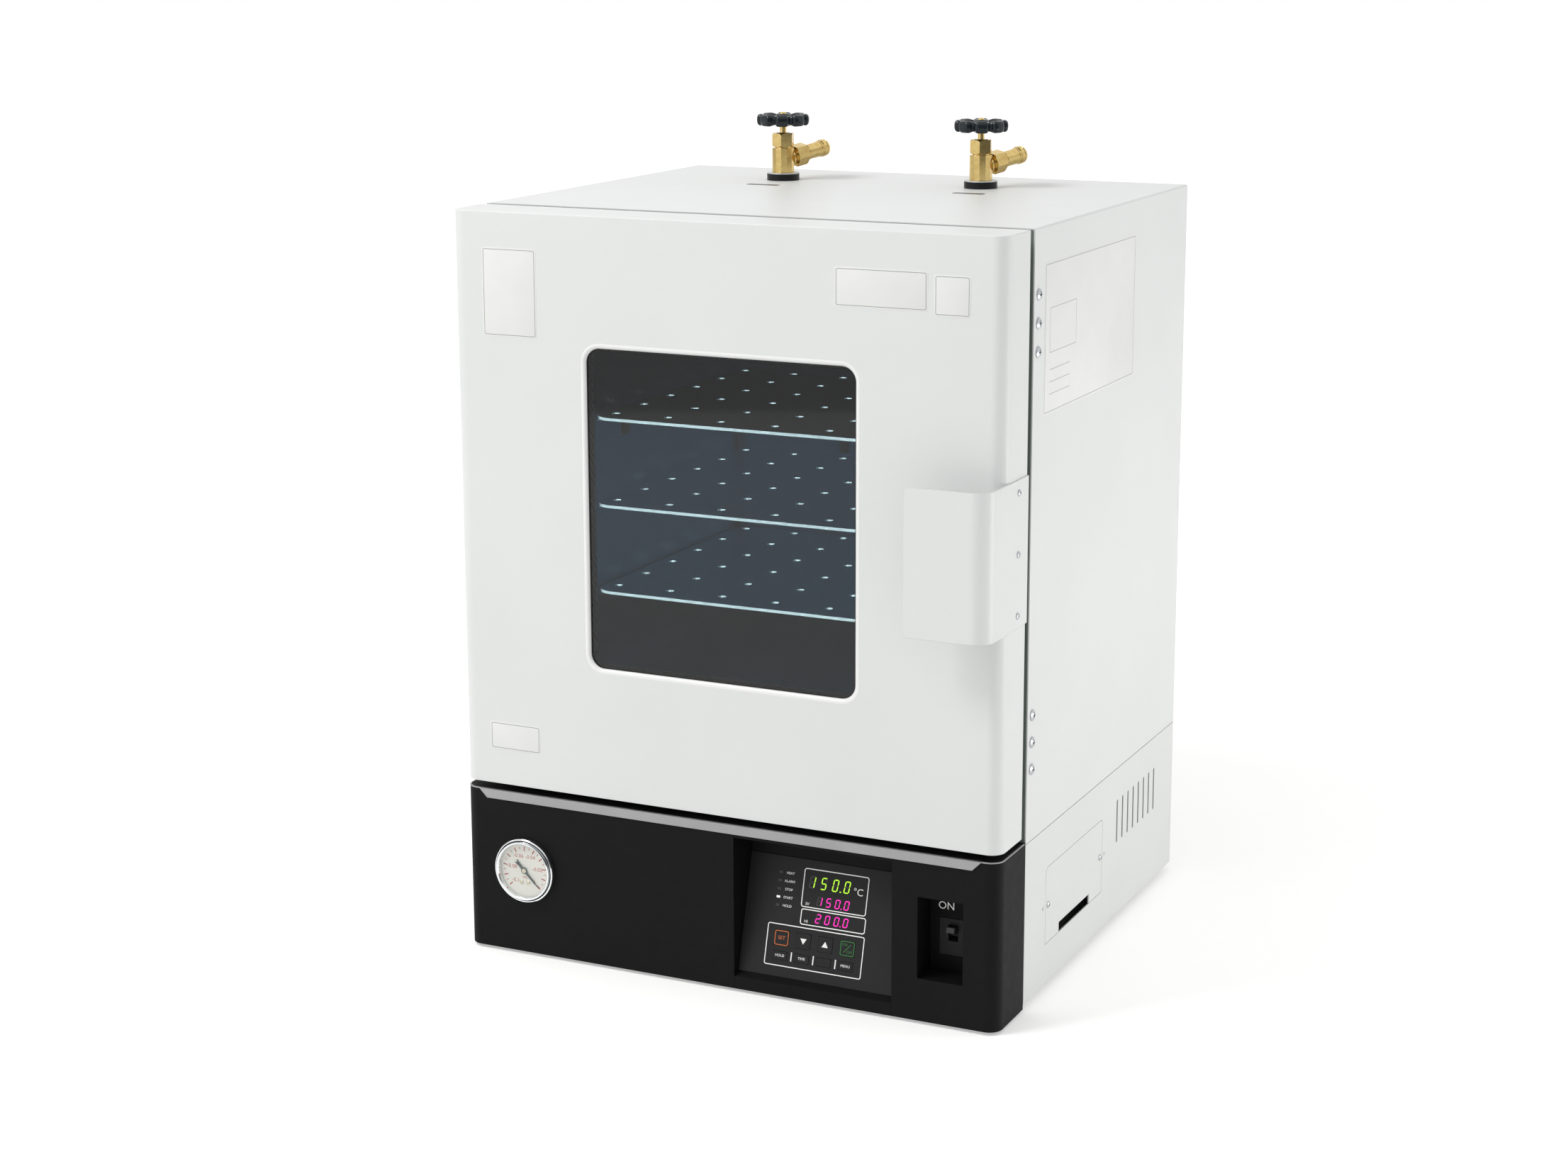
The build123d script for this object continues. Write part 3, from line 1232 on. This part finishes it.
# ================================================================ door
# Door shell: a tray open to the rear, with rounded upright edges and a stepped rim for the pane.
with BuildPart() as door_shell:
    with BuildSketch(level(door_bottom)) as door_plan:
        with Locations((0, (door_front + door_back) / 2)):
            Rectangle(casing_width, door_thickness)
        fillet(door_plan.vertices().group_by(Axis.Y)[0], door_corner)
    extrude(amount=door_height)
    fillet(door_shell.faces().sort_by(Axis.Z)[-1].edges().filter_by(Axis.X).sort_by(Axis.Y)[:1], 1.0)
    with BuildSketch(level(door_bottom + door_sheet)) as door_inside:
        with Locations((0, (door_front + door_sheet + door_back) / 2)):
            Rectangle(casing_width - 2 * door_sheet, door_thickness - door_sheet)
        fillet(door_inside.vertices().group_by(Axis.Y)[0], door_corner - door_sheet)
    extrude(amount=door_height - 2 * door_sheet, mode=Mode.SUBTRACT)
    with BuildSketch(facing(door_front + door_sheet)):
        with Locations((0, window_z)):
            RectangleRounded(
                window_width + 2 * window_rim, window_height + 2 * window_rim, window_corner + window_rim
            )
    extrude(amount=-(window_rim_depth - door_sheet))
    with BuildSketch(facing(door_front - 1)):
        with Locations((0, window_z)):
            RectangleRounded(window_width, window_height, window_corner)
    extrude(amount=-(1 + pane_recess + pane_thickness), mode=Mode.SUBTRACT)
    with BuildSketch(facing(door_front)):
        with Locations((0, window_z)):
            RectangleRounded(
                window_width - 2 * pane_lip, window_height - 2 * pane_lip, window_corner - pane_lip
            )
    extrude(amount=-(window_rim_depth + 1), mode=Mode.SUBTRACT)
    window_face = door_shell.faces().filter_by(Axis.Y).sort_by(Axis.Y)[0]
    fillet(window_face.inner_wires()[0].edges(), window_edge)
    with BuildSketch(side(half_width - door_sheet - 1)):
        with Locations((door_back - handle_screw_inset, casing_bottom + handle_centre)):
            with GridLocations(1, handle_screw_pitch, 1, 3):
                Circle(small_screw_shank + screw_play)
    extrude(amount=door_sheet + 2, mode=Mode.SUBTRACT)
    with BuildSketch(side(-half_width - 1)):
        for z in hinge_z:
            with Locations((door_back - leaf_screw_inset, z)):
                with GridLocations(1, side_screw_pitch, 1, 3):
                    Circle(small_screw_shank + screw_play)
    extrude(amount=door_sheet + 2, mode=Mode.SUBTRACT)
door_shell.part.label = "door_shell"
export_step(door_shell.part, "parts/door_shell.step")

# Tinted pane, seated on the rim's lip.
with BuildPart() as tinted_pane:
    with BuildSketch(facing(door_front + pane_recess)):
        with Locations((0, window_z)):
            RectangleRounded(
                window_width - 2 * sheet_fit, window_height - 2 * sheet_fit, window_corner - sheet_fit
            )
    extrude(amount=-pane_thickness)
tinted_pane.part.label = "tinted_pane"
export_step(tinted_pane.part, "parts/tinted_pane.step")

# Vacuum glass: thick plate that the seal presses on, a little proud of the door's back.
glass_rear = casing_front - door_gap + glass_proud
with BuildPart() as vacuum_glass:
    with BuildSketch(facing(glass_rear)):
        with Locations((0, window_z)):
            RectangleRounded(vacuum_glass_size, vacuum_glass_size, vacuum_glass_corner)
    extrude(amount=vacuum_glass_thickness)
    fillet(vacuum_glass.faces().filter_by(Axis.Y).edges(), 1.0)
vacuum_glass.part.label = "vacuum_glass"
export_step(vacuum_glass.part, "parts/vacuum_glass.step")

# Door back frame: shallow tray round the glass, with an outer wall inside the shell, an inner wall
# beside the glass and a flange in front of the glass.
frame_half_w = half_width - door_sheet - sheet_fit
frame_top = door_top - door_sheet - sheet_fit
frame_bottom = door_bottom + door_sheet + sheet_fit
frame_front = glass_rear - vacuum_glass_thickness
frame_z = (frame_top + frame_bottom) / 2
well = vacuum_glass_size + 2 * sheet_fit
with BuildPart() as door_back_frame:
    with BuildSketch(facing(door_back)):
        with Locations((0, frame_z)):
            Rectangle(2 * frame_half_w, frame_top - frame_bottom)
        with Locations((0, window_z)):
            RectangleRounded(well, well, vacuum_glass_corner, mode=Mode.SUBTRACT)
    extrude(amount=back_frame_sheet)
    with BuildSketch(facing(door_back)):
        with Locations((0, frame_z)):
            Rectangle(2 * frame_half_w, frame_top - frame_bottom)
            Rectangle(
                2 * (frame_half_w - back_frame_sheet),
                frame_top - frame_bottom - 2 * back_frame_sheet,
                mode=Mode.SUBTRACT,
            )
    extrude(amount=back_frame_depth)
    with BuildSketch(facing(door_back)):
        with Locations((0, window_z)):
            RectangleRounded(
                well + 2 * back_frame_sheet,
                well + 2 * back_frame_sheet,
                vacuum_glass_corner + back_frame_sheet,
            )
            RectangleRounded(well, well, vacuum_glass_corner, mode=Mode.SUBTRACT)
    extrude(amount=door_back - frame_front + back_frame_sheet)
    with BuildSketch(facing(frame_front)):
        with Locations((0, window_z)):
            RectangleRounded(well, well, vacuum_glass_corner)
            RectangleRounded(
                vacuum_glass_size - 2 * glass_margin,
                vacuum_glass_size - 2 * glass_margin,
                vacuum_glass_corner,
                mode=Mode.SUBTRACT,
            )
    extrude(amount=back_frame_sheet)
    # Clearance for the screws' shanks that come through the door's sides.
    with BuildSketch(side(-half_width)):
        for z in hinge_z:
            with Locations((door_back - leaf_screw_inset, z)):
                with GridLocations(1, side_screw_pitch, 1, 3):
                    Circle(small_screw_shank + screw_play)
    extrude(amount=10, mode=Mode.SUBTRACT)
door_back_frame.part.label = "door_back_frame"
export_step(door_back_frame.part, "parts/door_back_frame.step")

# Handle plate: leg on the door's side, one large bend, and a flap that stands in front of the door.
handle_x = half_width + handle_sheet
handle_z = casing_bottom + handle_centre
flap_left = half_width - handle_flap
with BuildPart() as handle_plate:
    with BuildSketch(level(handle_z - handle_height / 2)):
        with BuildLine():
            bend_centre = (handle_x - handle_bend, flap_front + handle_bend)
            outer_mid = (
                bend_centre[0] + handle_bend * math.sin(math.pi / 4),
                bend_centre[1] - handle_bend * math.cos(math.pi / 4),
            )
            inner_bend = handle_bend - handle_sheet
            inner_mid = (
                bend_centre[0] + inner_bend * math.sin(math.pi / 4),
                bend_centre[1] - inner_bend * math.cos(math.pi / 4),
            )
            Polyline((flap_left, flap_front + handle_sheet), (flap_left, flap_front),
                     (bend_centre[0], flap_front))
            ThreePointArc((bend_centre[0], flap_front), outer_mid, (handle_x, bend_centre[1]))
            Polyline((handle_x, bend_centre[1]), (handle_x, door_back), (half_width, door_back),
                     (half_width, bend_centre[1]))
            ThreePointArc((half_width, bend_centre[1]), inner_mid,
                          (bend_centre[0], flap_front + handle_sheet))
            Line((bend_centre[0], flap_front + handle_sheet), (flap_left, flap_front + handle_sheet))
        make_face()
    extrude(amount=handle_height)
    fillet(handle_plate.edges().filter_by(Axis.Y).group_by(Axis.X)[0], handle_corner)
    with BuildSketch(side(half_width - 1)):
        with Locations((door_back - handle_screw_inset, handle_z)):
            with GridLocations(1, handle_screw_pitch, 1, 3):
                Circle(small_screw_shank + screw_play)
    extrude(amount=handle_sheet + 2, mode=Mode.SUBTRACT)
handle_plate.part.label = "handle_plate"
export_step(handle_plate.part, "parts/handle_plate.step")

# Door screws: three in the handle's leg, three in each moving hinge leaf.
with BuildPart() as door_screws:
    for step in (-1, 0, 1):
        point = (handle_x, door_back - handle_screw_inset, handle_z + step * handle_screw_pitch)
        with Locations(Plane(point, z_dir=(1, 0, 0))):
            add(small_screw)
        for z in hinge_z:
            point = (
                -half_width - hinge_sheet,
                door_back - leaf_screw_inset,
                z + step * side_screw_pitch,
            )
            with Locations(Plane(point, z_dir=(-1, 0, 0))):
                add(small_screw)
door_screws.part.label = "door_screws"
export_step(door_screws.part, "parts/door_screws.step")

# Hinges: the pin stands in the gap between door and casing, just outside the side faces.
pin_x = -half_width - hinge_knuckle
pin_y = casing_front - door_gap / 2
third = hinge_height / 3
with BuildPart() as hinge_leaves_fixed:
    for z in hinge_z:
        with BuildSketch(level(z - hinge_height / 2)):
            with Locations((-half_width - hinge_sheet / 2, (pin_y + casing_front + hinge_leaf) / 2)):
                Rectangle(hinge_sheet, casing_front + hinge_leaf - pin_y)
            with Locations((pin_x, pin_y)):
                Circle(hinge_knuckle)
        extrude(amount=hinge_height)
        with BuildSketch(level(z - third / 2 - hinge_knuckle_gap)):
            with Locations((pin_x, pin_y)):
                Rectangle(4 * hinge_knuckle, 2 * hinge_knuckle + hinge_knuckle_gap)
        extrude(amount=third + 2 * hinge_knuckle_gap, mode=Mode.SUBTRACT)
        with BuildSketch(level(z - hinge_height)):
            with Locations((pin_x, pin_y)):
                Circle(hinge_pin + shaft_fit)
        extrude(amount=2 * hinge_height, mode=Mode.SUBTRACT)
    with BuildSketch(side(-half_width - 2 * hinge_sheet)):
        with Locations(*right_screw_points):
            Circle(side_screw_shank + screw_play)
    extrude(amount=2 * hinge_sheet, mode=Mode.SUBTRACT)
hinge_leaves_fixed.part.label = "hinge_leaves_fixed"
export_step(hinge_leaves_fixed.part, "parts/hinge_leaves_fixed.step")

with BuildPart() as hinge_leaves_moving:
    for z in hinge_z:
        with BuildSketch(level(z - hinge_height / 2)):
            with Locations((-half_width - hinge_sheet / 2, door_back - hinge_leaf / 2)):
                Rectangle(hinge_sheet, hinge_leaf)
        extrude(amount=hinge_height)
        with BuildSketch(level(z - third / 2)):
            with Locations((-half_width - hinge_sheet / 2, (pin_y + door_back) / 2)):
                Rectangle(hinge_sheet, pin_y - door_back)
            with Locations((pin_x, pin_y)):
                Circle(hinge_knuckle)
        extrude(amount=third)
        with BuildSketch(level(z - hinge_height)):
            with Locations((pin_x, pin_y)):
                Circle(hinge_pin + shaft_fit)
        extrude(amount=2 * hinge_height, mode=Mode.SUBTRACT)
    with BuildSketch(side(-half_width - 2 * hinge_sheet)):
        for z in hinge_z:
            with Locations((door_back - leaf_screw_inset, z)):
                with GridLocations(1, side_screw_pitch, 1, 3):
                    Circle(small_screw_shank + screw_play)
    extrude(amount=2 * hinge_sheet, mode=Mode.SUBTRACT)
hinge_leaves_moving.part.label = "hinge_leaves_moving"
export_step(hinge_leaves_moving.part, "parts/hinge_leaves_moving.step")

with BuildPart() as hinge_pins:
    with Locations(*[(pin_x, pin_y, z) for z in hinge_z]):
        Cylinder(hinge_pin, hinge_height)
hinge_pins.part.label = "hinge_pins"
export_step(hinge_pins.part, "parts/hinge_pins.step")

# ================================================================ valves
collar_top = casing_top + valve_collar_height
body_bottom = collar_top + valve_washer_height
body_top = body_bottom + valve_body_height
nut_bottom = body_top + valve_neck_height
nut_top = nut_bottom + valve_nut_height
wheel_bottom = nut_top + valve_stem_shown
wheel_top = wheel_bottom + valve_wheel_height
seat_z = body_bottom + seat_height
room_top = seat_z + plug_height + valve_lift + room_play
azimuth = math.radians(nipple_azimuth)
tilt = math.radians(nipple_tilt)
nipple_dir = (
    math.cos(azimuth) * math.cos(tilt),
    math.sin(azimuth) * math.cos(tilt),
    math.sin(tilt),
)
union_start = valve_body + union_offset
union_end = union_start + union_length

# Collars: black flange rings on the casing's top, round the valves' spigots.
with BuildPart() as valve_collars:
    with Locations(*[(x, valve_y, casing_top) for x in valve_x.values()]):
        Cylinder(valve_collar, valve_collar_height, align=LOW)
        Cylinder(valve_spigot + screw_play, valve_collar_height, align=LOW, mode=Mode.SUBTRACT)
valve_collars.part.label = "valve_collars"
export_step(valve_collars.part, "parts/valve_collars.step")

with BuildPart() as valve_washers:
    with Locations(*[(x, valve_y, collar_top) for x in valve_x.values()]):
        Cylinder(valve_washer, valve_washer_height, align=LOW)
        Cylinder(valve_spigot + screw_play, valve_washer_height, align=LOW, mode=Mode.SUBTRACT)
valve_washers.part.label = "valve_washers"
export_step(valve_washers.part, "parts/valve_washers.step")

# Bodies: faceted brass block, spigot below, neck above, side boss towards the union.
with BuildPart() as valve_bodies:
    for x in valve_x.values():
        with BuildSketch(level(body_bottom)):
            with Locations((x, valve_y)):
                RegularPolygon(valve_body, valve_body_sides, major_radius=False, rotation=15)
        extrude(amount=valve_body_height)
        with Locations((x, valve_y, body_bottom - valve_spigot_length)):
            Cylinder(valve_spigot, valve_spigot_length, align=LOW)
        with Locations((x, valve_y, body_top)):
            Cylinder(valve_neck, valve_neck_height, align=LOW)
        boss_plane = Plane((x, valve_y, body_bottom + nipple_height), z_dir=nipple_dir)
        with BuildSketch(boss_plane):
            Circle(nipple_radius)
        extrude(amount=union_start)
        with BuildSketch(boss_plane):
            Circle(nipple_bore)
        extrude(amount=union_start + 1, mode=Mode.SUBTRACT)
        with Locations((x, valve_y, seat_z)):
            Cylinder(plug_room, room_top - seat_z, align=LOW, mode=Mode.SUBTRACT)
        with Locations((x, valve_y, body_bottom - valve_spigot_length)):
            Cylinder(valve_seat, valve_spigot_length + seat_height, align=LOW, mode=Mode.SUBTRACT)
        with Locations((x, valve_y, room_top)):
            Cylinder(
                valve_stem + shaft_fit,
                nut_bottom - room_top,
                align=LOW,
                mode=Mode.SUBTRACT,
            )
valve_bodies.part.label = "valve_bodies"
export_step(valve_bodies.part, "parts/valve_bodies.step")

# Gland nuts: hexagons with turned corners, bored for the stem.
with BuildPart() as nut_shape:
    Cylinder(valve_nut * 1.14, valve_nut_height, align=LOW)
    chamfer(nut_shape.faces().filter_by(Axis.Z).edges(), valve_nut_chamfer)
    with BuildSketch(Plane.XY):
        RegularPolygon(valve_nut, 6, major_radius=False, rotation=12)
    extrude(amount=valve_nut_height, mode=Mode.INTERSECT)
    Cylinder(valve_stem + shaft_fit, valve_nut_height, align=LOW, mode=Mode.SUBTRACT)
with BuildPart() as valve_gland_nuts:
    with Locations(*[(x, valve_y, nut_bottom) for x in valve_x.values()]):
        add(nut_shape.part)
valve_gland_nuts.part.label = "valve_gland_nuts"
export_step(valve_gland_nuts.part, "parts/valve_gland_nuts.step")

# Nipples: hexagonal union and hose stub with a bead near its end.
with BuildPart() as valve_nipples:
    for x in valve_x.values():
        nipple_plane = Plane((x, valve_y, body_bottom + nipple_height), z_dir=nipple_dir)
        with BuildSketch(nipple_plane.offset(union_start)):
            RegularPolygon(union_flats, 6, major_radius=False, rotation=10)
        extrude(amount=union_length)
        with BuildSketch(nipple_plane.offset(union_end)):
            Circle(nipple_radius)
        extrude(amount=nipple_length)
        with BuildSketch(nipple_plane.offset(union_end + nipple_length - bead_inset - bead_length)):
            Circle(nipple_bead)
        extrude(amount=bead_length)
        with BuildSketch(nipple_plane.offset(union_start)):
            Circle(nipple_bore)
        extrude(amount=union_length + nipple_length, mode=Mode.SUBTRACT)
valve_nipples.part.label = "valve_nipples"
export_step(valve_nipples.part, "parts/valve_nipples.step")

# Moving pieces of each valve: the stem turns with its wheel; the plug only rises and falls.
for number, x in valve_x.items():
    with BuildPart() as stem:
        with Locations((x, valve_y, seat_z + plug_height + plug_play)):
            Cylinder(valve_stem, wheel_top - seat_z - plug_height - plug_play, align=LOW)
        with Locations((x, valve_y, seat_z + plug_height - socket_depth + plug_play)):
            Cylinder(socket_radius, socket_depth, align=LOW)
        with Locations((x, valve_y, wheel_top)):
            Cone(valve_stem, valve_stem * stem_tip_share, stem_tip, align=LOW)
    stem.part.label = f"valve_stem_{number}"
    export_step(stem.part, f"parts/valve_stem_{number}.step")

    with BuildPart() as plug:
        with Locations((x, valve_y, seat_z)):
            Cylinder(plug_radius, plug_height, align=LOW)
        with Locations((x, valve_y, seat_z + plug_height - socket_depth)):
            Cylinder(socket_radius + shaft_fit, socket_depth, align=LOW, mode=Mode.SUBTRACT)
    plug.part.label = f"valve_plug_{number}"
    export_step(plug.part, f"parts/valve_plug_{number}.step")

    lobe_centre = valve_wheel - valve_lobe
    with BuildPart() as wheel:
        with BuildSketch(level(wheel_bottom + 1)):
            with Locations((x, valve_y)):
                Circle(lobe_centre + lobe_fill)
                with PolarLocations(lobe_centre, valve_lobes):
                    Circle(valve_lobe)
        extrude(amount=valve_wheel_height - 2)
        fillet(wheel.faces().filter_by(Axis.Z).edges(), rim_round)
        web_half = wheel_web / 2
        web_z = wheel_bottom + valve_wheel_height / 2
        rim_inner = lobe_centre - rim_width
        with BuildSketch(level(web_z + web_half)):
            with Locations((x, valve_y)):
                Circle(rim_inner)
        extrude(amount=valve_wheel_height, mode=Mode.SUBTRACT)
        with BuildSketch(level(web_z - web_half)):
            with Locations((x, valve_y)):
                Circle(rim_inner)
        extrude(amount=-valve_wheel_height, mode=Mode.SUBTRACT)
        with Locations((x, valve_y, wheel_bottom)):
            Cylinder(wheel_hub, valve_wheel_height, align=LOW)
            Cylinder(valve_stem, valve_wheel_height, align=LOW, mode=Mode.SUBTRACT)
    wheel.part.label = f"valve_wheel_{number}"
    export_step(wheel.part, f"parts/valve_wheel_{number}.step")

print(f"casing front at y {casing_front:.2f}, overall height {wheel_top + stem_tip:.2f}")
